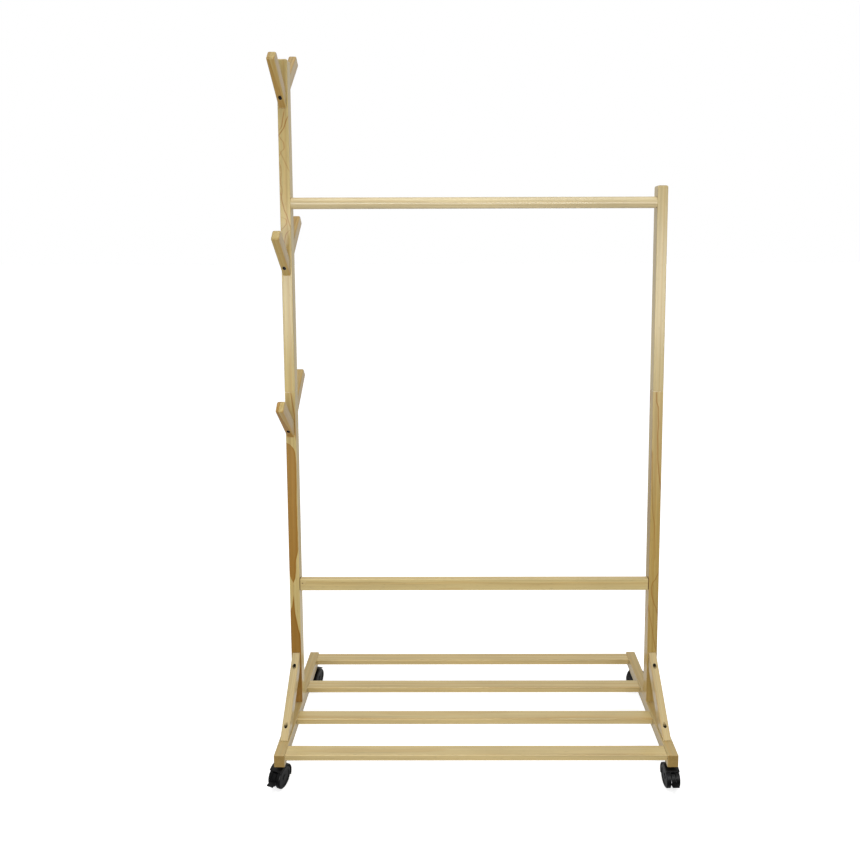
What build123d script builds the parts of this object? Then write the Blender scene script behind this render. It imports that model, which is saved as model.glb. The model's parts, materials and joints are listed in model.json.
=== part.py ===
from build123d import *
import math
import os

# Rolling clothes rack in pine: two foot rails on four twin-wheel casters, four slats between
# them, two posts with a hanging rod and a cross rail, a brace on each side, and six coat pegs
# on the taller left post.  Millimetres, X to the right, -Y is the front, Z up from the floor.
# The origin is on the floor, midway between the four casters.

# ---------------------------------------------------------------- driving dimensions
RACK_WIDTH = 1000          # over the outer faces of the posts
FOOT_LENGTH = 412          # foot rail, front to back
LEFT_HEIGHT = 1820         # top of the left post
RIGHT_HEIGHT = 1500        # top of the right post
CASTER_HEIGHT = 62         # floor to the underside of the foot rails

STOCK = 32                 # every timber is cut from stock with this larger side
POST_STOCK = 27            # smaller side of the posts and foot rails
BOARD_STOCK = 15           # smaller side of the slats and the cross rail
PEG_STOCK = 20             # smaller side of the pegs and braces
ROD_DIAMETER = 30

ROD_HEIGHT = 1457          # rod axis
RAIL_HEIGHT = 430          # middle of the cross rail
POST_JOINT_HEIGHT = 962    # where each post's lower and upper lengths meet
SLAT_RECESS = 3            # slat tops below the foot rail tops
SLAT_COUNT = 4
END_SLAT_INSET = 20.5      # middle of an end slat in from the end of the foot rails

PEG_ANGLE = 42             # pegs rise at this angle from level
PEG_REACH = 108            # lower tip corner out from the post face
PEG_BASES = {"top": 1696, "middle": 1268, "lower": 840}
BACK_PEG_RISE = 42         # each back peg starts this much higher than the front one
BRACE_RISE = 145           # brace covers this much post and this much foot rail

EDGE_ROUND = 2.0           # rounding along every timber
POST_TOP_ROUND = 5.0
JOINT_CHAMFER = 0.8        # fine groove where two post lengths meet
BLUNT = 2.0                # blunt end left on the mitred timbers
PEG_ROUND = 3.6            # along the pegs and round their tips
TIP_UPPER_ROUND = 9.0
TIP_LOWER_ROUND = 5.0
NEAR = 0.2                 # two measures closer than this count as equal

SCREW_SHANK = 5.0
SCREW_HEAD = 9.0
SCREW_HEAD_DEPTH = 3.5
SCREW_POINT = 4.0
SCREW_TIP = 1.2            # width of a screw's blunt tip
SOCKET_AF = 3.0            # hexagon recess in a screw head
SOCKET_DEPTH = 2.0
SCREW_CLEARANCE = 0.3      # round a shank where it passes through the fixed timber
COUNTERBORE = 9.6
DOWEL_DIAMETER = 6
DOWEL_LENGTH = 30
DOWEL_IN_POST = 12
DOWEL_OFFSET = 9           # dowel and screw stand this far apart in a joint

CASTER_INSET = 35          # stem axis in from the end of the foot rails
WHEEL_RADIUS = 25
WHEEL_WIDTH = 10.5
WHEEL_SHOULDER = 3.5
WHEEL_DISH = 1.2
WHEEL_GAP = 13             # between the two wheels of a caster
TRAIL = 17                 # axle behind the stem axis
WEB_WIDTH = 12
AXLE_DIAMETER = 6
AXLE_LENGTH = 30
RUNNING_FIT = 0.05         # radial clearance of turning fits
HOOD_RADIUS = 29
HOOD_INNER = 26.5
HOOD_ARC = (55, 205)       # degrees about the axle: 0 is ahead of the wheels, 90 is up
WEB_INTO_HOOD = 1
ARC_STEPS = 6              # straight steps in the outline of a pie slice
STEM_DIAMETER = 8
STEM_BOTTOM = 24
STEM_END_GAP = 1
STEM_FLANGE = 18
STEM_FLANGE_DEPTH = 2.2
SWIVEL_GAP = 0.3
SOCKET_DIAMETER = 11
SOCKET_LENGTH = 26
SOCKET_END = 2             # closed upper end of the sleeve
BOSS_DIAMETER = 16
LEVER_WIDTH = 10
LEVER_EAR = 5
LEVER_TAB = 17
LEVER_PIN = 3
LEVER_PIN_PLACE = (20, 62)  # radius and angle about the axle
LEVER_EYE = 6              # round end about the lever's pin
LEVER_BAND = (22.6, 25.6)  # radii of the flap
LEVER_ARC = (3, 48)
LEVER_SLOT_TURN = 14       # slot in the hood past the lever's pin, degrees
NECK_TURN = 6              # thickness of the neck and tab, degrees
TAB_TAPER = 2
TAB_START = 28.6           # clears the wheels when the lever is pressed
TAB_REACH = 40

# How each caster has come to rest: its wheels point this many degrees round from the front,
# counted from -Y towards +X.
CASTER_HEADINGS = {
    "front_left": -20,
    "front_right": 2,
    "back_left": 164,
    "back_right": 118,
}
BRAKED = ("front_left", "front_right")

# ---------------------------------------------------------------- derived places
FOOT_TOP = CASTER_HEIGHT + STOCK
POST_X = RACK_WIDTH / 2 - POST_STOCK / 2
INNER_SPAN = RACK_WIDTH - 2 * POST_STOCK
SPAN_END = INNER_SPAN / 2
POST_FACE = STOCK / 2
SLAT_TOP = FOOT_TOP - SLAT_RECESS
SLAT_Z = SLAT_TOP - BOARD_STOCK / 2
END_SLAT_Y = FOOT_LENGTH / 2 - END_SLAT_INSET
SLAT_PITCH = 2 * END_SLAT_Y / (SLAT_COUNT - 1)
SLAT_PLACES = [-END_SLAT_Y + SLAT_PITCH * i for i in range(SLAT_COUNT)]
SLAT_NAMES = ["front_slat", "inner_front_slat", "inner_back_slat", "back_slat"]
RAIL_Y = -POST_FACE + BOARD_STOCK / 2
CASTER_Y = FOOT_LENGTH / 2 - CASTER_INSET
SIDES = {"left": -1, "right": 1}
PEG_SIDES = {"front": -1, "back": 1}
PEG_SLOPE = math.radians(PEG_ANGLE)

PEG_SCREW_HEIGHT = 22      # above a peg's base
PEG_SCREW_SEAT = 12        # screw head seat out from the post face
PEG_SCREW_LENGTH = 38
BRACE_SCREW_PLACE = 25     # outer face of the brace at its screws, out from the post or rail
BRACE_SCREW_SEAT = 12
BRACE_SCREW_LENGTH = 36
SPAN_SCREW_LENGTH = 62     # through a post or foot rail into a slat, rail or rod
SPAN_SCREW_SEAT = 4
FOOT_BOLT_SEAT = 10
FOOT_BOLT_LENGTH = 70
JOINT_SCREW_DIAMETER = 8
JOINT_SCREW_LENGTH = 60


# ---------------------------------------------------------------- shared shapes
def timber(size, centre):
    """A straight timber, its long edges rounded."""
    bar = Pos(*centre) * Box(*size)
    along = [Axis.X, Axis.Y, Axis.Z][size.index(max(size))]
    return fillet(bar.edges().filter_by(along), EDGE_ROUND)


def rod_between(start, direction, length, diameter):
    """A round bar from start along direction."""
    seat = Plane(origin=start, z_dir=direction)
    return seat * Cylinder(diameter / 2, length, align=(Align.CENTER, Align.CENTER, Align.MIN))


def screw(seat, direction, length):
    """A socket screw: seat is the underside of its head, direction points to its tip."""
    base = (Align.CENTER, Align.CENTER, Align.MIN)
    shank = Cylinder(SCREW_SHANK / 2, length - SCREW_POINT, align=base)
    point = Cone(SCREW_SHANK / 2, SCREW_TIP / 2, SCREW_POINT, align=base)
    head = Cylinder(SCREW_HEAD / 2, SCREW_HEAD_DEPTH, align=base)
    recess = extrude(RegularPolygon(SOCKET_AF / 2, 6, major_radius=False), amount=SOCKET_DEPTH)
    body = shank + Pos(0, 0, length - SCREW_POINT) * point
    body += Pos(0, 0, -SCREW_HEAD_DEPTH) * (head - recess)
    return Plane(origin=seat, z_dir=direction) * body


def screw_hole(seat, direction, fixed_length, length, sunk=0):
    """The space for a screw: a clearance length, a pilot length, and a counterbore if sunk."""
    hole = rod_between(seat, direction, length, SCREW_SHANK)
    hole += rod_between(seat, direction, fixed_length, SCREW_SHANK + 2 * SCREW_CLEARANCE)
    if sunk:
        outward = tuple(-d for d in direction)
        hole += rod_between(seat, outward, sunk, COUNTERBORE)
    return hole


def save(node, shape):
    export_step(shape, os.path.join("parts", node + ".step"))


# ---------------------------------------------------------------- where the screws go
def peg_screw_seat(height, side):
    """Seat and direction of one peg's screw; side is -1 for a front peg, 1 for a back one."""
    seat = (-POST_X, side * (POST_FACE + PEG_SCREW_SEAT), height + PEG_SCREW_HEIGHT)
    return seat, (0, -side, 0)


def peg_places():
    """Every peg as name, base height and side."""
    for side_name, side in PEG_SIDES.items():
        rise = BACK_PEG_RISE if side > 0 else 0
        for level, base in PEG_BASES.items():
            yield f"{side_name}_{level}_peg", base + rise, side


def brace_screw_seats(side):
    """The two screws of one brace: level into the post, and down into the foot rail."""
    far = BRACE_RISE - BRACE_SCREW_PLACE
    into_post = ((side * POST_X, -POST_FACE - BRACE_SCREW_SEAT, FOOT_TOP + far), (0, 1, 0))
    into_foot = ((side * POST_X, -POST_FACE - far, FOOT_TOP + BRACE_SCREW_SEAT), (0, 0, -1))
    return [into_post, into_foot]


def span_screw_seat(side, y, z):
    """A screw from the outer face of a post or foot rail into the end of a spanning piece."""
    return (side * (RACK_WIDTH / 2 - SPAN_SCREW_SEAT), y, z), (-side, 0, 0)


def span_screw_hole(side, y, z):
    seat, direction = span_screw_seat(side, y, z)
    fixed = POST_STOCK - SPAN_SCREW_SEAT
    return screw_hole(seat, direction, fixed, SPAN_SCREW_LENGTH, SPAN_SCREW_SEAT)


def foot_bolt_seat(side):
    return (side * POST_X, 0, CASTER_HEIGHT + FOOT_BOLT_SEAT), (0, 0, 1)


def foot_bolt_hole(side):
    seat, direction = foot_bolt_seat(side)
    return screw_hole(seat, direction, STOCK - FOOT_BOLT_SEAT, FOOT_BOLT_LENGTH, FOOT_BOLT_SEAT)


def span_dowel(side, y, z):
    """A wooden dowel half in a post or foot rail and half in a spanning piece."""
    start = (side * (SPAN_END + DOWEL_IN_POST), y, z)
    return rod_between(start, (-side, 0, 0), DOWEL_LENGTH, DOWEL_DIAMETER)


def slat_dowel_y(y):
    return y + math.copysign(DOWEL_OFFSET, y)


RAIL_SCREW_Z = RAIL_HEIGHT + DOWEL_OFFSET
RAIL_DOWEL_Z = RAIL_HEIGHT - DOWEL_OFFSET


# ---------------------------------------------------------------- timbers
def foot_rail(side):
    bar = Pos(side * POST_X, 0, CASTER_HEIGHT + STOCK / 2) * Box(POST_STOCK, FOOT_LENGTH, STOCK)
    bar = fillet(bar.edges(), EDGE_ROUND)
    for y in SLAT_PLACES:
        bar -= span_screw_hole(side, y, SLAT_Z)
        bar -= span_dowel(side, slat_dowel_y(y), SLAT_Z)
    for y in (-CASTER_Y, CASTER_Y):
        start = (side * POST_X, y, CASTER_HEIGHT)
        bar -= rod_between(start, (0, 0, 1), SOCKET_LENGTH, SOCKET_DIAMETER)
    seat, direction = brace_screw_seats(side)[1]
    bar -= screw_hole(seat, direction, BRACE_SCREW_SEAT, BRACE_SCREW_LENGTH)
    return bar - foot_bolt_hole(side)


def slat(y):
    board = timber((INNER_SPAN, STOCK, BOARD_STOCK), (0, y, SLAT_Z))
    for side in SIDES.values():
        board -= span_screw_hole(side, y, SLAT_Z)
        board -= span_dowel(side, slat_dowel_y(y), SLAT_Z)
    return board


def cross_rail():
    board = Pos(0, RAIL_Y, RAIL_HEIGHT) * Box(INNER_SPAN, BOARD_STOCK, STOCK)
    board = fillet(board.edges(), EDGE_ROUND)
    for side in SIDES.values():
        board -= span_screw_hole(side, RAIL_Y, RAIL_SCREW_Z)
        board -= span_dowel(side, RAIL_Y, RAIL_DOWEL_Z)
    return board


def hanging_rod():
    rod = rod_between((-SPAN_END, 0, ROD_HEIGHT), (1, 0, 0), INNER_SPAN, ROD_DIAMETER)
    for side in SIDES.values():
        rod -= span_screw_hole(side, 0, ROD_HEIGHT)
    return rod


def joint_screw(side):
    """The double-ended dowel screw inside a post, half in each length."""
    start = (side * POST_X, 0, POST_JOINT_HEIGHT - JOINT_SCREW_LENGTH / 2)
    return rod_between(start, (0, 0, 1), JOINT_SCREW_LENGTH, JOINT_SCREW_DIAMETER)


def bore_for_pegs(post):
    for name, height, side in peg_places():
        seat, direction = peg_screw_seat(height, side)
        post -= screw_hole(seat, direction, PEG_SCREW_SEAT, PEG_SCREW_LENGTH)
    return post


def lower_post(side):
    height = POST_JOINT_HEIGHT - FOOT_TOP
    post = timber((POST_STOCK, STOCK, height), (side * POST_X, 0, FOOT_TOP + height / 2))
    post = chamfer(post.faces().sort_by(Axis.Z)[-1].edges(), JOINT_CHAMFER)
    post -= joint_screw(side)
    post -= foot_bolt_hole(side)
    post -= span_screw_hole(side, RAIL_Y, RAIL_SCREW_Z)
    post -= span_dowel(side, RAIL_Y, RAIL_DOWEL_Z)
    seat, direction = brace_screw_seats(side)[0]
    post -= screw_hole(seat, direction, BRACE_SCREW_SEAT, BRACE_SCREW_LENGTH)
    return bore_for_pegs(post) if side < 0 else post


def upper_post(side):
    height = (LEFT_HEIGHT if side < 0 else RIGHT_HEIGHT) - POST_JOINT_HEIGHT
    centre = Pos(side * POST_X, 0, POST_JOINT_HEIGHT + height / 2)
    post = centre * Box(POST_STOCK, STOCK, height)
    post = fillet(post.faces().sort_by(Axis.Z)[-1].edges(), POST_TOP_ROUND)
    bottom = post.faces().sort_by(Axis.Z)[0].edges()
    lengthwise = [e for e in post.edges() if e not in bottom and not is_level(e)]
    post = fillet(lengthwise, EDGE_ROUND)
    post = chamfer(post.faces().sort_by(Axis.Z)[0].edges(), JOINT_CHAMFER)
    post -= joint_screw(side)
    post -= span_screw_hole(side, 0, ROD_HEIGHT)
    return bore_for_pegs(post) if side < 0 else post


def is_level(edge):
    """True for an edge whose two ends are at one height."""
    return abs((edge @ 0).Z - (edge @ 1).Z) < NEAR


def side_profile(points, x):
    """Extrude a YZ outline by the peg stock's thickness about x."""
    outline = Plane.YZ * Polygon(*points, align=None)
    return Pos(x, 0, 0) * extrude(outline, amount=PEG_STOCK / 2, both=True)


def round_sides(bar, x, radius, clear_of):
    """Round the outline edges on both side faces, except those that lie on a joint."""
    outline = [e for e in bar.edges() if abs(abs(e.center().X - x) - PEG_STOCK / 2) < NEAR]
    return fillet([e for e in outline if clear_of(e.center())], radius)


def peg(height, side):
    """A square-ended bar, mitred flat onto the post, with a rounded tip."""
    rise = math.tan(PEG_SLOPE)
    base = STOCK / math.cos(PEG_SLOPE)
    tip = (PEG_REACH, PEG_REACH * rise)
    upper = (tip[0] - STOCK * math.sin(PEG_SLOPE), tip[1] + STOCK * math.cos(PEG_SLOPE))
    outline = [(0, 0), (BLUNT, 0), (BLUNT, BLUNT * rise), tip, upper, (0, base)]
    points = [(side * (POST_FACE + d), height + h) for d, h in outline]
    bar = side_profile(points, -POST_X)
    across = bar.edges().filter_by(Axis.X)
    by_reach = sorted(across, key=lambda e: abs(e.center().Y))
    bar = fillet(by_reach[-1], TIP_LOWER_ROUND)
    across = bar.edges().filter_by(Axis.X)
    bar = fillet(across.sort_by(Axis.Z)[-1], TIP_UPPER_ROUND)
    bar = round_sides(bar, -POST_X, PEG_ROUND, lambda c: abs(c.Y) > POST_FACE + BLUNT + EDGE_ROUND)
    seat, direction = peg_screw_seat(height, side)
    return bar - screw_hole(seat, direction, PEG_SCREW_SEAT, PEG_SCREW_LENGTH, STOCK)


def brace(side):
    """A bar at 45 degrees, mitred onto the post's front face and the foot rail's top."""
    inner = BRACE_RISE - STOCK * math.sqrt(2)
    sharp = BRACE_RISE - BLUNT
    outline = [(0, inner), (0, sharp), (BLUNT, sharp), (sharp, BLUNT), (sharp, 0), (inner, 0)]
    points = [(-POST_FACE - d, FOOT_TOP + h) for d, h in outline]
    x = side * POST_X
    bar = side_profile(points, x)
    bar = round_sides(bar, x, EDGE_ROUND, lambda c: min(-c.Y - POST_FACE, c.Z - FOOT_TOP) > 2 * BLUNT)
    for seat, direction in brace_screw_seats(side):
        bar -= screw_hole(seat, direction, BRACE_SCREW_SEAT, BRACE_SCREW_LENGTH, STOCK)
    return bar


# ---------------------------------------------------------------- casters
# A caster is drawn with its stem axis on Z through the origin, wheels ahead at -Y.
def ahead(radius, angle):
    """Y and Z of a point about the axle, angle 0 ahead and 90 up."""
    turn = math.radians(angle)
    return -TRAIL - radius * math.cos(turn), WHEEL_RADIUS + radius * math.sin(turn)


def slice_of(arc, radius):
    """The YZ outline of a pie slice about the axle."""
    start, end = arc
    step = (end - start) / ARC_STEPS
    rim = [ahead(radius, start + step * i) for i in range(ARC_STEPS + 1)]
    return Plane.YZ * Polygon(ahead(0, 0), *rim, align=None)


def ring_arc(outer, inner, arc, width):
    """Part of a ring about the axle, width wide about the caster's middle plane."""
    centre = ahead(0, 0)
    ring = Plane.YZ * Pos(*centre) * (Circle(outer) - Circle(inner))
    return extrude(ring & slice_of(arc, 2 * outer), amount=width / 2, both=True)


def disc_at(place, radius, width):
    """A disc across the caster with its centre at a YZ place."""
    return extrude(Plane.YZ * Pos(*place) * Circle(radius), amount=width / 2, both=True)


def hood():
    """Fender over both wheels, the web between them, and the boss that turns on the stem."""
    fender = ring_arc(HOOD_RADIUS, HOOD_INNER, HOOD_ARC, WHEEL_GAP + 2 * WHEEL_WIDTH)
    arcs = fender.edges().filter_by(GeomType.CIRCLE)
    rims = [e for e in arcs if abs(e.radius - HOOD_RADIUS) < NEAR]
    fender = fillet(rims, (HOOD_RADIUS - HOOD_INNER) / 2)
    web = ring_arc(HOOD_INNER + WEB_INTO_HOOD, AXLE_DIAMETER / 2, HOOD_ARC, WEB_WIDTH)
    web += disc_at(ahead(0, 0), AXLE_DIAMETER, WEB_WIDTH)
    boss_top = CASTER_HEIGHT - STEM_FLANGE_DEPTH - SWIVEL_GAP
    boss = rod_between((0, 0, WHEEL_RADIUS), (0, 0, 1), boss_top - WHEEL_RADIUS, BOSS_DIAMETER)
    boss -= disc_at(ahead(0, 0), HOOD_INNER, BOSS_DIAMETER)
    body = fender + web + boss
    body -= disc_at(ahead(0, 0), AXLE_DIAMETER / 2, WEB_WIDTH)
    bore_start = (0, 0, STEM_BOTTOM - STEM_END_GAP)
    return body - rod_between(bore_start, (0, 0, 1), CASTER_HEIGHT, STEM_DIAMETER + 2 * RUNNING_FIT)


def braked_hood():
    """The hood with a slot and pin holes for the brake lever."""
    radius, angle = LEVER_PIN_PLACE
    slot = ring_arc(
        HOOD_INNER,
        radius - LEVER_EYE,
        (HOOD_ARC[0] - 1, angle + LEVER_SLOT_TURN),
        LEVER_EAR + 2 * SWIVEL_GAP,
    )
    return hood() - slot - disc_at(ahead(radius, angle), LEVER_PIN / 2, WEB_WIDTH)


def lever_part(points, width):
    """A flat-sided part of the lever from radius and angle pairs about the axle."""
    outline = Polygon(*[ahead(radius, angle) for radius, angle in points], align=None)
    return extrude(Plane.YZ * outline, amount=width / 2, both=True)


def lever():
    """Brake lever: a curved flap in the gap between the wheels, ending in a wide tab."""
    inner, outer = LEVER_BAND
    low, top = LEVER_ARC
    high = low + NECK_TURN
    body = ring_arc(outer, inner, LEVER_ARC, LEVER_WIDTH)
    body += disc_at(ahead(*LEVER_PIN_PLACE), LEVER_EYE / 2, LEVER_EAR)
    body += lever_part(
        [LEVER_PIN_PLACE, (inner, LEVER_PIN_PLACE[1]), (outer, top), (inner, top - NECK_TURN)],
        LEVER_EAR,
    )
    body += lever_part([(inner, low), (TAB_START, low), (TAB_START, high), (inner, high)], LEVER_WIDTH)
    body += lever_part(
        [(TAB_START, low), (TAB_REACH, low), (TAB_REACH, high - TAB_TAPER), (TAB_START, high)],
        LEVER_TAB,
    )
    return body - disc_at(ahead(*LEVER_PIN_PLACE), LEVER_PIN / 2 + RUNNING_FIT, LEVER_WIDTH)


def lever_pin():
    return disc_at(ahead(*LEVER_PIN_PLACE), LEVER_PIN / 2, WEB_WIDTH)


def axle():
    return disc_at(ahead(0, 0), AXLE_DIAMETER / 2, AXLE_LENGTH)


def wheel(hand):
    """One wheel: rounded tread shoulder, dished outer face, blind bore; hand is -1 or 1."""
    inner = WHEEL_GAP / 2
    y, z = ahead(0, 0)
    tyre = rod_between((inner, y, z), (1, 0, 0), WHEEL_WIDTH, 2 * WHEEL_RADIUS)
    tyre = fillet(tyre.edges().sort_by(Axis.X)[-1], WHEEL_SHOULDER)
    dish = (inner + WHEEL_WIDTH - WHEEL_DISH, y, z)
    rim = rod_between(dish, (1, 0, 0), WHEEL_DISH, 2 * (WHEEL_RADIUS - 2 * WHEEL_SHOULDER))
    hub = rod_between(dish, (1, 0, 0), WHEEL_DISH, 2 * AXLE_DIAMETER)
    bore_depth = AXLE_LENGTH / 2 - inner + SWIVEL_GAP
    bore = rod_between((inner, y, z), (1, 0, 0), bore_depth, AXLE_DIAMETER + 2 * RUNNING_FIT)
    disc = tyre - (rim - hub) - bore
    return disc if hand > 0 else mirror(disc, Plane.YZ)


def stem():
    """Steel stem: a pin up into the foot rail's socket and down into the hood's boss."""
    top = CASTER_HEIGHT + SOCKET_LENGTH - SOCKET_END
    pin = rod_between((0, 0, STEM_BOTTOM), (0, 0, 1), top - STEM_BOTTOM, STEM_DIAMETER)
    under = (0, 0, CASTER_HEIGHT - STEM_FLANGE_DEPTH)
    flange = rod_between(under, (0, 0, 1), STEM_FLANGE_DEPTH, STEM_FLANGE)
    return pin + flange


def socket():
    """Sleeve pressed into the foot rail, holding the stem."""
    foot = (0, 0, CASTER_HEIGHT)
    sleeve = rod_between(foot, (0, 0, 1), SOCKET_LENGTH, SOCKET_DIAMETER)
    return sleeve - rod_between(foot, (0, 0, 1), SOCKET_LENGTH - SOCKET_END, STEM_DIAMETER)


def caster_place(name):
    """Where a caster stands, with its heading."""
    front_back, left_right = name.split("_")
    y = -CASTER_Y if front_back == "front" else CASTER_Y
    return Pos(SIDES[left_right] * POST_X, y, 0) * Rot(0, 0, CASTER_HEADINGS[name])


def save_caster(name):
    place = caster_place(name)
    braked = name in BRAKED
    save(f"{name}_stem", place * stem())
    save(f"{name}_hood", place * (braked_hood() if braked else hood()))
    save(f"{name}_axle", place * axle())
    save(f"{name}_wheel_a", place * wheel(-1))
    save(f"{name}_wheel_b", place * wheel(1))
    if braked:
        save(f"{name}_brake_lever", place * lever())
        save(f"{name}_lever_pin", place * lever_pin())


# ---------------------------------------------------------------- fasteners, grouped by kind
def group(pieces):
    return Compound(children=list(pieces))


def peg_screws():
    return group(
        screw(*peg_screw_seat(height, side), PEG_SCREW_LENGTH)
        for name, height, side in peg_places()
    )


def brace_screws():
    return group(
        screw(seat, direction, BRACE_SCREW_LENGTH)
        for side in SIDES.values()
        for seat, direction in brace_screw_seats(side)
    )


def span_screws(y, z):
    """The two screws into the ends of one spanning piece."""
    return [screw(*span_screw_seat(side, y, z), SPAN_SCREW_LENGTH) for side in SIDES.values()]


def slat_screws():
    return group(piece for y in SLAT_PLACES for piece in span_screws(y, SLAT_Z))


def slat_dowels():
    return group(
        span_dowel(side, slat_dowel_y(y), SLAT_Z)
        for side in SIDES.values()
        for y in SLAT_PLACES
    )


def rod_screws():
    return group(span_screws(0, ROD_HEIGHT))


def rail_screws():
    return group(span_screws(RAIL_Y, RAIL_SCREW_Z))


def rail_dowels():
    return group(span_dowel(side, RAIL_Y, RAIL_DOWEL_Z) for side in SIDES.values())


def foot_bolts():
    return group(screw(*foot_bolt_seat(side), FOOT_BOLT_LENGTH) for side in SIDES.values())


def post_joint_screws():
    return group(joint_screw(side) for side in SIDES.values())


def caster_sockets():
    return group(caster_place(name) * socket() for name in CASTER_HEADINGS)


# ---------------------------------------------------------------- write every piece
os.makedirs("parts", exist_ok=True)
for side_name, side in SIDES.items():
    save(f"{side_name}_foot_rail", foot_rail(side))
    save(f"{side_name}_lower_post", lower_post(side))
    save(f"{side_name}_upper_post", upper_post(side))
    save(f"{side_name}_brace", brace(side))
for slat_name, slat_y in zip(SLAT_NAMES, SLAT_PLACES):
    save(slat_name, slat(slat_y))
save("cross_rail", cross_rail())
save("hanging_rod", hanging_rod())
for peg_name, peg_height, peg_side in peg_places():
    save(peg_name, peg(peg_height, peg_side))
for caster_name in CASTER_HEADINGS:
    save_caster(caster_name)
save("peg_screws", peg_screws())
save("brace_screws", brace_screws())
save("slat_screws", slat_screws())
save("slat_dowels", slat_dowels())
save("rod_screws", rod_screws())
save("rail_screws", rail_screws())
save("rail_dowels", rail_dowels())
save("foot_bolts", foot_bolts())
save("post_joint_screws", post_joint_screws())
save("caster_sockets", caster_sockets())
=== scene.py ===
"""Looks of a rolling clothes rack in clear-finished pine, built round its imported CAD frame.

Metres, X to the right, -Y the front, Z up from the floor. Every visible piece is a CAD node. This
script gives each one its material, and adds a camera, lights, white surroundings and a floor.
"""

import json
import math

import bpy
from mathutils import Matrix, Vector


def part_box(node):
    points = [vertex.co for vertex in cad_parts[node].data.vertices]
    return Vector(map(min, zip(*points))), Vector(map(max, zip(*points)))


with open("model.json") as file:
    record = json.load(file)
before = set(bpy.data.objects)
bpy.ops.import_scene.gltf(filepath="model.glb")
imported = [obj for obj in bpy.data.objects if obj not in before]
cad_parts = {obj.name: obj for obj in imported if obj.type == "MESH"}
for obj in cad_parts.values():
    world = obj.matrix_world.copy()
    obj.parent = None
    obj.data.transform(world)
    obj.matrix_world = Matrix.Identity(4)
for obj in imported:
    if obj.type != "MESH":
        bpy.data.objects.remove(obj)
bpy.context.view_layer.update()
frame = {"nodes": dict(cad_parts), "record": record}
nodes = frame["nodes"]

# ---------------------------------------------------------------- camera and light
CAMERA_PLACE = (-0.0412, -1.7449, 1.3722)
CAMERA_PITCH = 4.965       # degrees below level
CAMERA_YAW = -0.173        # degrees towards +X
CAMERA_ROLL = -0.164       # degrees
CAMERA_REACH = (0.05, 60)  # nearest and farthest that it sees
SENSOR = 36.0              # millimetres, as the lens
LENS = 27.88
SHIFT = (-0.0303, -0.1587)

LIGHTS = {                 # place, target, width and height, watts
    "key": ((0, -2.6, 1.05), (0, 0, 1.0), (2.8, 0.8), 54),
    "overhead": ((0, -1.2, 5.0), (0, 0, 0), (3.0, 2.0), 62),
    "floor_bounce": ((0, 0, 0.02), (0, 0, 1), (0.9, 1.4), 1.3),
}

FRONT_GLOW = 0.08          # strength of the surroundings on the camera's side
BACK_GLOW = 0.72           # the same beyond the rack
ABOVE_GLOW = 0.05          # what is added to it overhead
BELOW_GLOW = 0.6           # the share of it that comes from below
BACKDROP = 1.0             # its strength as the camera sees it

FLOOR_SIZE = 60.0
FLOOR_GLOW = 0.6           # keeps the floor as white as the backdrop


def make_camera():
    data = bpy.data.cameras.new("camera")
    data.sensor_width = SENSOR
    data.lens = LENS
    data.shift_x, data.shift_y = SHIFT
    data.clip_start, data.clip_end = CAMERA_REACH
    camera = bpy.data.objects.new("camera", data)
    bpy.context.scene.collection.objects.link(camera)
    yaw = Matrix.Rotation(-math.radians(CAMERA_YAW), 4, "Z")
    pitch = Matrix.Rotation(math.radians(90 - CAMERA_PITCH), 4, "X")
    roll = Matrix.Rotation(math.radians(CAMERA_ROLL), 4, "Z")
    camera.matrix_world = Matrix.Translation(CAMERA_PLACE) @ yaw @ pitch @ roll
    bpy.context.scene.camera = camera


def make_light(name, place, target, size, power):
    """A rectangular light that isn't seen itself."""
    data = bpy.data.lights.new(name, "AREA")
    data.shape = "RECTANGLE"
    data.size, data.size_y = size
    data.energy = power
    light = bpy.data.objects.new(name, data)
    bpy.context.scene.collection.objects.link(light)
    light.visible_camera = False
    light.location = place
    light.rotation_euler = (Vector(target) - Vector(place)).to_track_quat("-Z", "Y").to_euler()


def make_world():
    """White surroundings that light from behind and the sides, seen as an even backdrop."""
    world = bpy.data.worlds.new("surroundings")
    bpy.context.scene.world = world
    world.use_nodes = True
    shade = world.node_tree.nodes["Background"]
    shade.inputs["Color"].default_value = (1, 1, 1, 1)
    net = Net(world.node_tree)
    away, height = net.split(net.node("TexCoord").outputs["Generated"])[1:]
    light = net.fade(away, -0.6, 0.3, FRONT_GLOW, BACK_GLOW)
    light = net.math("ADD", light, net.fade(height, 0.1, 0.9, 0, ABOVE_GLOW))
    light = net.math("MULTIPLY", light, net.fade(height, -0.7, 0.1, BELOW_GLOW, 1))
    seen = net.node("LightPath").outputs["Is Camera Ray"]
    net.set(shade.inputs["Strength"], net.fade(seen, 0, 1, light, BACKDROP))


# ---------------------------------------------------------------- node helpers
def srgb(red, green, blue):
    """A colour as shown, 0 to 255 a channel, in the linear values that shaders take."""
    def linear(value):
        value /= 255
        return value / 12.92 if value <= 0.04045 else ((value + 0.055) / 1.055) ** 2.4
    return (linear(red), linear(green), linear(blue), 1.0)


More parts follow.
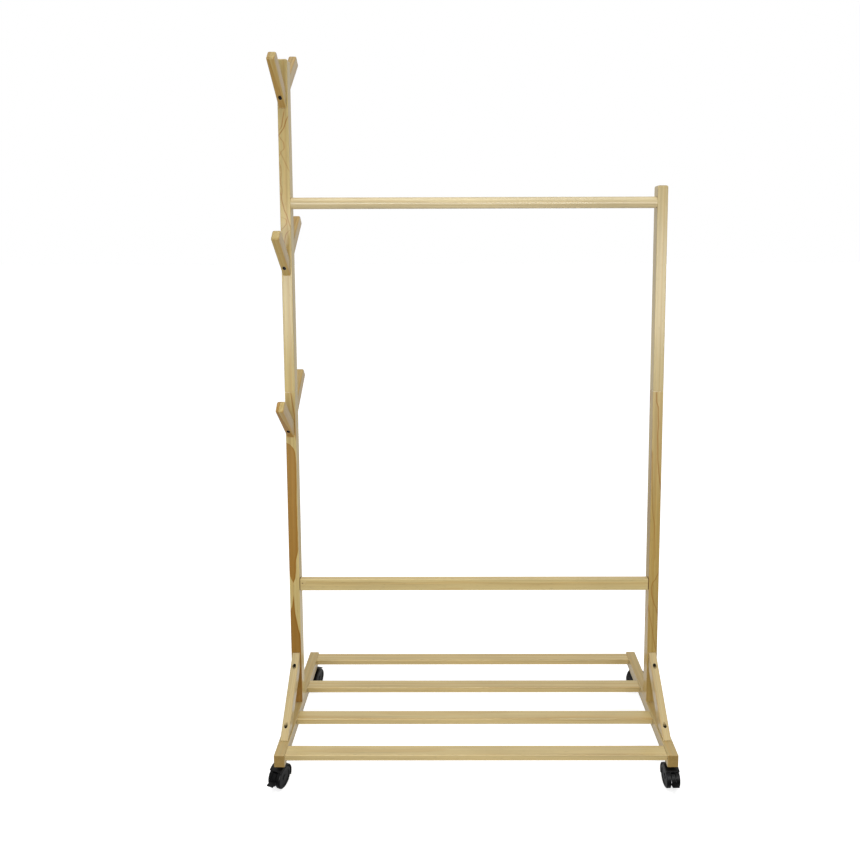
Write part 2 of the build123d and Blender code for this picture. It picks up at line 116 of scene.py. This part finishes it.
class Net:
    """Short ways to add and join nodes: an argument is a socket, a number or a tuple."""

    def __init__(self, tree):
        self.tree = tree

    def set(self, socket, value):
        if isinstance(value, bpy.types.NodeSocket):
            self.tree.links.new(value, socket)
        elif value is not None:
            socket.default_value = value

    def node(self, kind, **settings):
        made = self.tree.nodes.new("ShaderNode" + kind)
        for key, value in settings.items():
            setattr(made, key, value)
        return made

    def math(self, operation, *values):
        made = self.node("Math", operation=operation)
        for socket, value in zip(made.inputs, values):
            self.set(socket, value)
        return made.outputs[0]

    def vector(self, operation, *values, scale=None):
        made = self.node("VectorMath", operation=operation)
        for socket, value in zip(made.inputs, values):
            self.set(socket, value)
        if scale is not None:
            self.set(made.inputs["Scale"], scale)
        return made.outputs["Value" if operation in ("LENGTH", "DOT_PRODUCT") else "Vector"]

    def split(self, vector):
        made = self.node("SeparateXYZ")
        self.set(made.inputs[0], vector)
        return made.outputs[0], made.outputs[1], made.outputs[2]

    def join(self, x, y, z):
        made = self.node("CombineXYZ")
        for socket, value in zip(made.inputs, (x, y, z)):
            self.set(socket, value)
        return made.outputs[0]

    def noise(self, vector, scale=1.0, detail=2.0, roughness=0.5, colour=False):
        made = self.node("TexNoise")
        self.set(made.inputs["Vector"], vector)
        made.inputs["Scale"].default_value = scale
        made.inputs["Detail"].default_value = detail
        made.inputs["Roughness"].default_value = roughness
        return made.outputs["Color" if colour else "Fac"]

    def turn(self, vector, place, rotation):
        """The vector in the frame of something at this place and rotation."""
        made = self.node("Mapping", vector_type="TEXTURE")
        made.inputs["Location"].default_value = place
        made.inputs["Rotation"].default_value = rotation
        self.set(made.inputs["Vector"], vector)
        return made.outputs[0]

    def fade(self, value, start, end, low=0.0, high=1.0):
        """low below start, high above end, smooth in between."""
        made = self.node("MapRange", interpolation_type="SMOOTHSTEP")
        self.set(made.inputs["Value"], value)
        self.set(made.inputs["From Min"], start)
        self.set(made.inputs["From Max"], end)
        self.set(made.inputs["To Min"], low)
        self.set(made.inputs["To Max"], high)
        return made.outputs[0]

    def mix(self, factor, a, b, blend="MIX"):
        made = self.node("Mix", data_type="RGBA", blend_type=blend)
        self.set(made.inputs[0], factor)
        self.set(made.inputs[6], a)
        self.set(made.inputs[7], b)
        return made.outputs[2]

    def darken(self, colour, share):
        """The colour times a grey share."""
        return self.mix(1.0, colour, self.join(share, share, share), "MULTIPLY")

    def ramp(self, factor, stops):
        made = self.node("ValToRGB")
        elements = made.color_ramp.elements
        while len(elements) < len(stops):
            elements.new(0.5)
        for element, (place, level) in zip(elements, stops):
            element.position = place
            element.color = (level, level, level, 1)
        self.set(made.inputs[0], factor)
        return made.outputs[0]

    def curve(self, value, points):
        """A smooth curve through points, both axes 0 to 1."""
        made = self.node("FloatCurve")
        line = made.mapping.curves[0]
        while len(line.points) < len(points):
            line.points.new(0.5, 0.5)
        for point, place in zip(line.points, points):
            point.location = place
            point.handle_type = "AUTO_CLAMPED"
        made.mapping.update()
        self.set(made.inputs["Value"], value)
        return made.outputs[0]

    def bump(self, height, strength, distance):
        made = self.node("Bump")
        made.inputs["Strength"].default_value = strength
        made.inputs["Distance"].default_value = distance
        self.set(made.inputs["Height"], height)
        return made.outputs[0]


def new_material(name):
    material = bpy.data.materials.new(name)
    material.use_nodes = True
    shader = material.node_tree.nodes["Principled BSDF"]
    return material, Net(material.node_tree), shader


def paint(node_name, material):
    """Give a CAD node its material."""
    data = nodes[node_name].data
    data.materials.clear()
    data.materials.append(material)


# ---------------------------------------------------------------- pine
EARLY = srgb(221, 199, 139)         # the pale part of a ring
LATE = srgb(190, 148, 78)           # its darker edge
HEARTWOOD = srgb(173, 125, 50)
RESIN = srgb(172, 114, 46)          # streaks
KNOT = srgb(96, 58, 30)
# painted highlight on the corners of the timbers
ARRIS_HIGHLIGHT_COLOUR = srgb(238, 226, 190)
# painted highlight along the joint at the top of the lower posts
JOINT_HIGHLIGHT = srgb(240, 226, 190)
# painted shadow where the cross rail's ends meet the posts
SEAM_SHADOW = srgb(120, 82, 40)
END_TINT = (0.74, 0.66, 0.52, 1)    # end grain, as a share of the colour

RING = 0.005               # from ring to ring
RING_PROFILE = [(0, 0), (0.4, 0.12), (0.8, 0.75), (0.92, 1), (1, 0)]
WANDER = 0.006             # how far the pith strays along a timber
ARRIS = 0.0014             # how wide the corners with a painted highlight are
ARRIS_HIGHLIGHT_STRENGTH = 0.35                # and how much brighter that painted highlight makes them
CREASE_SHADE_REACH = 0.012             # reach of the painted shade in seams and screw holes
RELIEF = 0.25              # strength of the grain's relief
RELIEF_DEPTH = 0.0003
FIBRES = (1300, 1300, 16)  # changes per metre, twice across the grain and once along it
BANDS = (220, 220, 3)
CLOUDS = (20, 20, 4)
DUCTS = (700, 700, 55)

GRAIN_TURNS = {
    "z": (0, 0, 0),
    "x": (0, math.pi / 2, 0),
    "y": (-math.pi / 2, 0, 0),
}


def pine_group():
    """Rings, fibres and colour drift of planed pine, from a point with Z along the grain, with a
    painted highlight on its corners and painted shade in seams and holes.
    """
    group = bpy.data.node_groups.new("pine", "ShaderNodeTree")
    face = group.interface
    for name, kind, value in (
        ("Grain", "NodeSocketVector", (0, 0, 0)),
        ("Pith", "NodeSocketVector", (0.03, 0.02, 0)),
        ("Seed", "NodeSocketFloat", 0.0),
        ("Ring", "NodeSocketFloat", RING),
        ("Contrast", "NodeSocketFloat", 0.6),
        ("Warp", "NodeSocketFloat", 0.0),
        ("Heart", "NodeSocketFloat", 0.0),
        ("Streak", "NodeSocketFloat", 0.0),
        ("End", "NodeSocketFloat", 0.0),
        ("Worn", "NodeSocketFloat", ARRIS_HIGHLIGHT_STRENGTH),
        ("Early", "NodeSocketColor", EARLY),
        ("EndTint", "NodeSocketColor", END_TINT),
    ):
        face.new_socket(name=name, in_out="INPUT", socket_type=kind).default_value = value
    face.new_socket(name="Color", in_out="OUTPUT", socket_type="NodeSocketColor")
    face.new_socket(name="Roughness", in_out="OUTPUT", socket_type="NodeSocketFloat")
    face.new_socket(name="Height", in_out="OUTPUT", socket_type="NodeSocketFloat")
    net = Net(group)
    given = group.nodes.new("NodeGroupInput").outputs
    result = group.nodes.new("NodeGroupOutput").inputs

    late = late_wood(net, given)
    fine = net.noise(net.vector("MULTIPLY", given["Grain"], FIBRES), detail=3.0)
    broad = net.noise(net.vector("MULTIPLY", given["Grain"], BANDS), detail=2.0)
    cloud = net.noise(net.vector("MULTIPLY", given["Grain"], CLOUDS), detail=2.0)
    ducts = net.noise(net.vector("MULTIPLY", given["Grain"], DUCTS), detail=0.0)
    ducts = net.fade(ducts, 0.72, 0.8)

    colour = net.mix(net.math("MULTIPLY", late, given["Contrast"]), given["Early"], LATE)
    colour = net.mix(given["Heart"], colour, HEARTWOOD)
    colour = net.mix(given["Streak"], colour, RESIN)
    tone = 1.0
    for pattern, swing, level in (
        (fine, 0.12, 0.87),
        (broad, 0.4, 0.82),
        (cloud, 0.3, 0.87),
        (ducts, -0.14, 1.0),
    ):
        tone = net.math("MULTIPLY", tone, net.math("MULTIPLY_ADD", pattern, swing, level))
    colour = net.darken(colour, tone)
    end_colour = net.mix(1.0, colour, given["EndTint"], "MULTIPLY")
    colour = net.mix(given["End"], colour, end_colour)
    # Painted highlight on the corners.
    colour = net.mix(painted_arris_highlight(net, given["Worn"]), colour, ARRIS_HIGHLIGHT_COLOUR)
    # Painted shade deep in seams and screw holes.
    net.set(result["Color"], net.darken(colour, painted_crease_shade(net)))

    rough = net.math("MULTIPLY_ADD", fine, 0.1, 0.36)
    net.set(result["Roughness"], net.math("MULTIPLY_ADD", given["End"], 0.15, rough))
    height = net.math("MULTIPLY_ADD", late, 0.5, net.math("MULTIPLY", fine, 0.5))
    net.set(result["Height"], net.math("SUBTRACT", height, net.math("MULTIPLY", ducts, 0.4)))
    return group


def late_wood(net, given):
    """0 to 1 across each growth ring, the rings being uneven circles round a wandering pith."""
    along = net.split(given["Grain"])[2]
    course = net.join(
        given["Seed"], net.math("MULTIPLY", given["Seed"], 1.7), net.math("MULTIPLY", along, 2.6))
    drift = net.vector("SUBTRACT", net.noise(course, detail=1.0, colour=True), (0.5, 0.5, 0.5))
    place = net.vector("SUBTRACT", given["Grain"], given["Pith"])
    place = net.vector("ADD", place, net.vector("SCALE", drift, scale=WANDER))
    radius = net.vector("LENGTH", net.vector("MULTIPLY", place, (1, 1, 0)))
    uneven = net.noise(net.join(net.math("MULTIPLY", radius, 70), given["Seed"], 0), detail=2.0)
    ripple = net.noise(net.vector("MULTIPLY", place, (45, 45, 5)), detail=2.0)
    rings = net.math("DIVIDE", radius, given["Ring"])
    rings = net.math("MULTIPLY_ADD", uneven, 2.2, rings)
    rings = net.math("MULTIPLY_ADD", ripple, 0.7, rings)
    rings = net.math("ADD", rings, given["Warp"])
    late = net.ramp(net.math("FRACT", rings), RING_PROFILE)
    kind = net.node("TexWhiteNoise", noise_dimensions="1D")
    net.set(kind.inputs["W"], net.math("FLOOR", rings))
    return net.math("MULTIPLY", late, net.fade(kind.outputs["Value"], 0, 1, 0.35, 1.0))


def painted_arris_highlight(net, most):
    """How strong the painted highlight is at a spot: most on a timber's corners, 0 on its faces."""
    rounded = net.node("Bevel", samples=4)
    rounded.inputs["Radius"].default_value = ARRIS
    normal = net.node("NewGeometry").outputs["Normal"]
    return net.fade(net.vector("DOT_PRODUCT", rounded.outputs[0], normal), 0.8, 0.99, most, 0)


def painted_crease_shade(net):
    """Painted shade: nearly 0 deep in seams and holes, 1 in the open."""
    open_air = net.node("AmbientOcclusion", samples=6)
    open_air.inputs["Distance"].default_value = CREASE_SHADE_REACH
    return net.fade(open_air.outputs["AO"], 0.22, 0.55, 0.03, 1)


PINE = pine_group()


def pine_material(name, turn, seed, heart=None, streaks=(), knots=(), deeper=None, lean=0.45,
                  joint_line=False, end_seam_shadows=False, relief=RELIEF, **values):
    """Pine for one CAD node. turn is the grain's direction; the rest add to its figure, except the
    painted shade towards the bottom, the painted joint highlight and the painted seam shadows.
    """
    low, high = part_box(name)
    material, net, shader = new_material("pine_" + name)
    place = net.node("TexCoord")
    rotation = GRAIN_TURNS.get(turn, turn)
    facing = net.turn(place.outputs["Normal"], (0, 0, 0), rotation)
    end = net.fade(net.math("ABSOLUTE", net.split(facing)[2]), 0.6, 0.9)

    wood = net.node("Group", node_tree=PINE)
    net.set(wood.inputs["Grain"], net.turn(place.outputs["Object"], (low + high) / 2, rotation))
    net.set(wood.inputs["Seed"], seed)
    net.set(wood.inputs["End"], end)
    for key, value in values.items():
        net.set(wood.inputs[key], value)

    figure = Figure(net, place.outputs["Object"], low, high, lean)
    brown = figure.region(*heart) if heart else 1.0
    if heart:
        net.set(wood.inputs["Heart"], brown)
    if streaks:
        net.set(wood.inputs["Streak"], figure.lines(streaks))
    colour = wood.outputs["Color"]
    # Painted shade: darker towards the bottom of the timber.
    if deeper:
        top, bottom, tint = deeper
        share = net.math("MULTIPLY", figure.downward(top, bottom), brown)
        colour = net.mix(share, colour, tint, "MULTIPLY")
    # Painted highlight along the joint at the top.
    if joint_line:
        colour = net.mix(figure.top_highlight(), colour, JOINT_HIGHLIGHT)
    # Painted shadow where the ends meet the posts.
    if end_seam_shadows:
        colour = net.mix(figure.end_seam_shadows(), colour, SEAM_SHADOW)
    if knots:
        dark, warp = figure.knots(knots)
        net.set(wood.inputs["Warp"], warp)
        colour = net.mix(dark, colour, KNOT)
    net.set(shader.inputs["Base Color"], colour)
    net.set(shader.inputs["Roughness"], wood.outputs["Roughness"])
    net.set(shader.inputs["Normal"], net.bump(wood.outputs["Height"], relief, RELIEF_DEPTH))
    shader.inputs["Specular IOR Level"].default_value = 0.25
    shader.inputs["Coat Weight"].default_value = 0.6
    shader.inputs["Coat Roughness"].default_value = 0.2
    return material


class Figure:
    """Grain features, painted shade and painted highlights at chosen places on an upright timber.

    A feature's line is given as (height in metres, share of the width from the left edge). It
    leans into the timber's depth, as a growth ring does.
    """

    WOBBLE = (60, 60, 22)      # changes per metre of the lines' unevenness
    WOBBLE_SHARE = 0.14        # its size, as a share of the width
    SOFT_END = 0.01            # over which a line fades out, as a share of the height
    SEAM_SHADOW = 0.0036              # width of the painted seam shadow, from a timber's end

    def __init__(self, net, place, low, high, lean):
        self.net, self.low, self.high = net, low, high
        self.place = place
        x, y, z = net.split(place)
        wobble = net.noise(net.vector("MULTIPLY", place, self.WOBBLE), detail=2.0)
        across = net.math("DIVIDE", net.math("SUBTRACT", x, low.x), high.x - low.x)
        across = net.math(
            "MULTIPLY_ADD", net.math("SUBTRACT", wobble, 0.5), self.WOBBLE_SHARE, across)
        depth = net.math("DIVIDE", net.math("SUBTRACT", y, low.y), high.y - low.y)
        self.across = net.math("MULTIPLY_ADD", depth, lean, across)
        self.height = net.math("DIVIDE", net.math("SUBTRACT", z, low.z), high.z - low.z)

    def share(self, height):
        """A height in metres as a share of the timber's own."""
        return (height - self.low.z) / (self.high.z - self.low.z)

    def downward(self, top, bottom):
        """0 above top, rising to 1 at bottom."""
        return self.net.fade(self.height, self.share(bottom), self.share(top), 1, 0)

    def top_highlight(self):
        """A painted highlight: a thin bright line, broken in places, along the joint at the top."""
        below = self.net.math("SUBTRACT", self.high.z, self.net.split(self.place)[2])
        broken = self.net.fade(self.net.noise(self.place, scale=90), 0.4, 0.6, 0.1, 0.7)
        return self.net.math("MULTIPLY", self.net.fade(below, 0.0012, 0.0024, 1, 0), broken)

    def end_seam_shadows(self):
        """Painted shadow: dark lines where a piece's two ends meet the posts."""
        x = self.net.split(self.place)[0]
        from_left = self.net.math("SUBTRACT", x, self.low.x)
        from_right = self.net.math("SUBTRACT", self.high.x, x)
        inside = self.net.math("MINIMUM", from_left, from_right)
        return self.net.fade(inside, 0.001, self.SEAM_SHADOW, 0.95, 0)

    def line(self, points):
        """Where a feature's line runs across the width, at every height.

        The curve node takes 0 to 1, and lines may run from half a width outside the timber.
        """
        spots = sorted((self.share(z), (share + 0.5) / 2) for z, share in points)
        across = self.net.curve(self.height, spots)
        return self.net.math("MULTIPLY_ADD", across, 2, -0.5)

    def between(self, points):
        """1 over the heights that the points cover, fading at both ends."""
        heights = [self.share(z) for z, share in points]
        first, last = min(heights), max(heights)
        soft = self.SOFT_END
        start = self.net.fade(self.height, first - soft, first + soft)
        end = self.net.fade(self.height, last - soft, last + soft, 1, 0)
        return self.net.math("MULTIPLY", start, end)

    def lines(self, streaks):
        """Every streak as (points, width as a share, strength)."""
        total = 0.0
        for points, width, strength in streaks:
            away = self.net.math("SUBTRACT", self.across, self.line(points))
            near = self.net.fade(self.net.math("ABSOLUTE", away), 0, width, strength, 0)
            near = self.net.math("MULTIPLY", near, self.between(points))
            total = self.net.math("MAXIMUM", total, near)
        return total

    def region(self, left, right, strength):
        """strength between two lines, darker along the right one, and 0 outside them."""
        past_left = self.net.math("SUBTRACT", self.across, self.line(left))
        to_right = self.net.math("SUBTRACT", self.line(right), self.across)
        inside = self.net.math(
            "MULTIPLY", self.net.fade(past_left, -0.04, 0.06), self.net.fade(to_right, -0.03, 0.05))
        rim = self.net.fade(to_right, 0.02, 0.22, strength * 1.25, strength)
        return self.net.math("MULTIPLY", inside, rim)

    def knots(self, spots):
        """Dark round knots at points, and how far the rings bend round them."""
        dark, warp = 0.0, 0.0
        for spot, radius in spots:
            away = self.net.vector("LENGTH", self.net.vector("SUBTRACT", self.place, spot))
            core = self.net.fade(away, radius * 0.5, radius * 1.3, 0.85, 0)
            dark = self.net.math("MAXIMUM", dark, core)
            warp = self.net.math("ADD", warp, self.net.fade(away, 0, radius * 7, 2.5, 0))
        return dark, warp


# ---------------------------------------------------------------- each timber's own figure
# Heartwood on the left lower post: its left and right boundaries on the front face.
HEART_LEFT = [
    (0.094, 0), (0.35, 0), (0.37, 0.2), (0.401, 0.36), (0.42, 0.5), (0.438, 0.36), (0.455, 0.1),
    (0.48, 0), (0.962, 0),
]
HEART_RIGHT = [
    (0.094, 1.05), (0.28, 0.98), (0.3, 0.85), (0.33, 0.65), (0.37, 0.46), (0.401, 0.38),
    (0.42, 0.3), (0.438, 0.44), (0.452, 0.62), (0.5, 0.72), (0.533, 0.95), (0.78, 0.95),
    (0.82, 0.4), (0.84, -0.2), (0.962, -0.2),
]
LEFT_LOWER_STREAKS = [
    ([(0.834, 1.0), (0.89, 0.9), (0.93, 0.75), (0.962, 0.58)], 0.12, 0.8),
    ([(0.5, 0.02), (0.65, 0.03), (0.8, 0.08)], 0.08, 0.5),
]
RIGHT_LOWER_STREAKS = [
    ([(0.69, 1.0), (0.709, 0.9), (0.75, 0.71), (0.818, 0.58), (0.9125, 0.54), (0.935, 0.34),
      (0.962, 0.3)], 0.1, 0.75),
    ([(0.5, 0.55), (0.584, 0.45), (0.66, 0.16), (0.8, 0.08)], 0.09, 0.5),
    ([(0.34, 1.0), (0.357, 0.85), (0.387, 0.45), (0.4156, 0.3), (0.443, 0.6), (0.466, 1.0)],
     0.09, 0.65),
    ([(0.244, 0.85), (0.27, 0.65), (0.315, 0.35), (0.372, 0)], 0.09, 0.5),
]
LEFT_UPPER_STREAKS = [
    ([(1.626, 0.02), (1.64, 0.35), (1.65, 0.6), (1.666, 0.8), (1.675, 0.97)], 0.1, 0.95),
    ([(1.642, 0.1), (1.652, 0.35), (1.672, 0.5), (1.69, 0.62)], 0.09, 0.8),
    ([(1.396, 0.92), (1.424, 0.65), (1.445, 0.35), (1.485, 0.08)], 0.09, 0.8),
    ([(1.388, 0.05), (1.398, 0.4), (1.41, 0.6), (1.418, 0.4), (1.421, 0.05)], 0.09, 0.75),
    ([(1.575, 0.0), (1.59, 0.3), (1.6, 0.55), (1.618, 0.3), (1.63, 0.05)], 0.1, 0.6),
    ([(1.54, 0.95), (1.56, 0.6), (1.575, 0.35), (1.59, 0.1)], 0.09, 0.5),
    ([(1.47, 0.1), (1.49, 0.22), (1.51, 0.12), (1.535, 0.2), (1.56, 0.05)], 0.09, 0.6),
    ([(1.34, 0.3), (1.368, 0.42), (1.38, 0.6), (1.388, 0.95)], 0.09, 0.75),
]
SMALL_KNOT = 0.0016

# Brown heartwood down the left of some pegs, and how strong it is.
PEG_BROWN = {
    "front_top_peg": 0.45, "front_lower_peg": 0.8, "back_middle_peg": 0.4, "back_top_peg": 0.35,
}
PEG_BROWN_EDGES = (-0.5, 0.4)
PEG_LEAN = -0.5
PEG_TURN = math.radians(48)
BRACE_TURN = math.radians(-45)

POST_SEED = 11             # the first of each kind of timber; the next ones count on
FOOT_RAIL_SEED = 3
BRACE_SEED = 31
SLAT_SEED = 41
CROSS_RAIL_SEED = 51
ROD_SEED = 52
PEG_SEED = 61
DOWEL_SEED = 71


def dress_posts():
    # Both lower posts get a painted highlight along the joint at their top, and painted shade that
    # darkens them towards the bottom.
    posts = {
        "left_lower_post": dict(
            Contrast=0.5, Early=srgb(214, 192, 128), joint_line=True, streaks=LEFT_LOWER_STREAKS,
            heart=(HEART_LEFT, HEART_RIGHT, 0.85), deeper=(0.8, 0.35, (0.8, 0.74, 0.6, 1))),
        "right_lower_post": dict(
            Contrast=0.5, Early=srgb(212, 188, 130), joint_line=True, streaks=RIGHT_LOWER_STREAKS,
            deeper=(0.95, 0.55, (0.8, 0.73, 0.52, 1))),
        "left_upper_post": dict(
            Contrast=0.5, Early=srgb(212, 190, 128), Ring=0.006, streaks=LEFT_UPPER_STREAKS),
        "right_upper_post": dict(Contrast=0.4, Early=srgb(214, 194, 142), Ring=0.004),
    }
    for index, (name, figure) in enumerate(posts.items()):
        paint(name, pine_material(name, "z", POST_SEED + index, Pith=(-0.03, 0.05, 0), **figure))


def dress_feet():
    low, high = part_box("left_brace")
    knot = (low.x + 0.007, (low.y + high.y) / 2, (low.z + high.z) / 2)
    for index, side in enumerate(("left", "right")):
        name = f"{side}_foot_rail"
        paint(name, pine_material(
            name, "y", FOOT_RAIL_SEED + index, Pith=(0.03, 0.045, 0), Contrast=0.5,
            Early=srgb(190, 167, 112)))
        name = f"{side}_brace"
        paint(name, pine_material(
            name, (BRACE_TURN, 0, 0), BRACE_SEED + index, Pith=(0.05, 0.02, 0), Contrast=0.55,
            Early=srgb(204, 185, 138), knots=[(knot, SMALL_KNOT)] if side == "left" else ()))


def dress_crosspieces():
    slats = ("front_slat", "inner_front_slat", "inner_back_slat", "back_slat")
    for index, name in enumerate(slats):
        paint(name, pine_material(
            name, "x", SLAT_SEED + index, Pith=(0.05, 0.01 * index, 0), Contrast=0.6,
            Early=srgb(209, 188, 134)))
    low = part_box("cross_rail")[0]
    knot = (low.x + 0.008, low.y, low.z + 0.021)
    # The cross rail gets a painted shadow where its ends meet the posts.
    paint("cross_rail", pine_material(
        "cross_rail", "x", CROSS_RAIL_SEED, Pith=(0.02, 0.06, 0), Contrast=0.4,
        Early=srgb(216, 194, 136), end_seam_shadows=True, knots=[(knot, SMALL_KNOT)]))
    # The rod gets no painted highlight on its corners.
    paint("hanging_rod", pine_material(
        "hanging_rod", "x", ROD_SEED, Pith=(0.02, 0.02, 0), Contrast=0.35,
        Early=srgb(232, 214, 168), Worn=0, relief=0.04))


def dress_pegs():
    for side, turn in (("front", PEG_TURN), ("back", -PEG_TURN)):
        for index, level in enumerate(("top", "middle", "lower")):
            name = f"{side}_{level}_peg"
            low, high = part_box(name)
            heart = None
            if name in PEG_BROWN:
                edges = [[(low.z, share), (high.z, share)] for share in PEG_BROWN_EDGES]
                heart = (*edges, PEG_BROWN[name])
            paint(name, pine_material(
                name, (turn, 0, 0), PEG_SEED + index, heart=heart, lean=PEG_LEAN,
                Pith=(-0.02, 0.012, 0), Contrast=0.75, Ring=0.006, Early=srgb(200, 173, 106),
                EndTint=(0.98, 1.03, 1.05, 1)))


# ---------------------------------------------------------------- plastic and steel
def black_plastic():
    material, net, shader = new_material("black_nylon")
    place = net.node("TexCoord").outputs["Object"]
    grain = net.noise(place, scale=2500, detail=2.0)
    cloud = net.noise(place, scale=60, detail=3.0)
    dust = net.fade(net.noise(place, scale=420, detail=4.0, roughness=0.7), 0.62, 0.8)
    colour = net.mix(cloud, srgb(8, 8, 9), srgb(14, 14, 15))
    colour = net.mix(net.math("MULTIPLY", dust, 0.08), colour, srgb(70, 68, 64))
    shader.inputs["Specular IOR Level"].default_value = 0.3
    net.set(shader.inputs["Base Color"], colour)
    net.set(shader.inputs["Roughness"], net.math("MULTIPLY_ADD", cloud, 0.2, 0.3))
    net.set(shader.inputs["Normal"], net.bump(grain, 0.2, 0.0002))
    return material


def steel(name, patches, colours, metallic, roughness):
    """Plated or blackened steel, in cloudy patches from one colour to the other."""
    material, net, shader = new_material(name)
    cloud = net.noise(net.node("TexCoord").outputs["Object"], scale=patches, detail=3.0)
    net.set(shader.inputs["Base Color"], net.mix(cloud, *colours))
    shader.inputs["Metallic"].default_value = metallic
    net.set(shader.inputs["Roughness"], net.math("MULTIPLY_ADD", cloud, 0.2, roughness))
    return material


def dress_hardware():
    zinc = (srgb(150, 150, 148), srgb(196, 196, 192))
    black = (srgb(14, 14, 15), srgb(30, 30, 31))
    materials = {
        "black_nylon": black_plastic(),
        "zinc_steel": steel("zinc_steel", 300, zinc, 1.0, 0.25),
        "black_steel": steel("black_steel", 500, black, 0.6, 0.4),
        "beech": pine_material("slat_dowels", "x", DOWEL_SEED),
    }
    for row in frame["record"]["subparts"]:
        if row["material_slot"] in materials:
            paint(row["node"], materials[row["material_slot"]])


# ---------------------------------------------------------------- floor
def make_floor():
    half = FLOOR_SIZE / 2
    mesh = bpy.data.meshes.new("floor")
    corners = [(-half, -half, 0), (half, -half, 0), (half, half, 0), (-half, half, 0)]
    mesh.from_pydata(corners, [], [(0, 1, 2, 3)])
    floor = bpy.data.objects.new("floor", mesh)
    bpy.context.scene.collection.objects.link(floor)
    material, net, shader = new_material("pale_floor")
    cloud = net.noise(net.node("TexCoord").outputs["Object"], scale=6, detail=3.0)
    colour = net.mix(cloud, (0.9, 0.9, 0.9, 1), (0.93, 0.93, 0.93, 1))
    net.set(shader.inputs["Base Color"], colour)
    shader.inputs["Roughness"].default_value = 0.7
    shader.inputs["Emission Color"].default_value = (1, 1, 1, 1)
    shader.inputs["Emission Strength"].default_value = FLOOR_GLOW
    mesh.materials.append(material)
    floor.visible_diffuse = False
    floor.visible_glossy = False


make_camera()
make_world()
for light_name, setting in LIGHTS.items():
    make_light(light_name, *setting)
make_floor()
dress_posts()
dress_feet()
dress_crosspieces()
dress_pegs()
dress_hardware()
bpy.context.scene.view_settings.view_transform = "Standard"
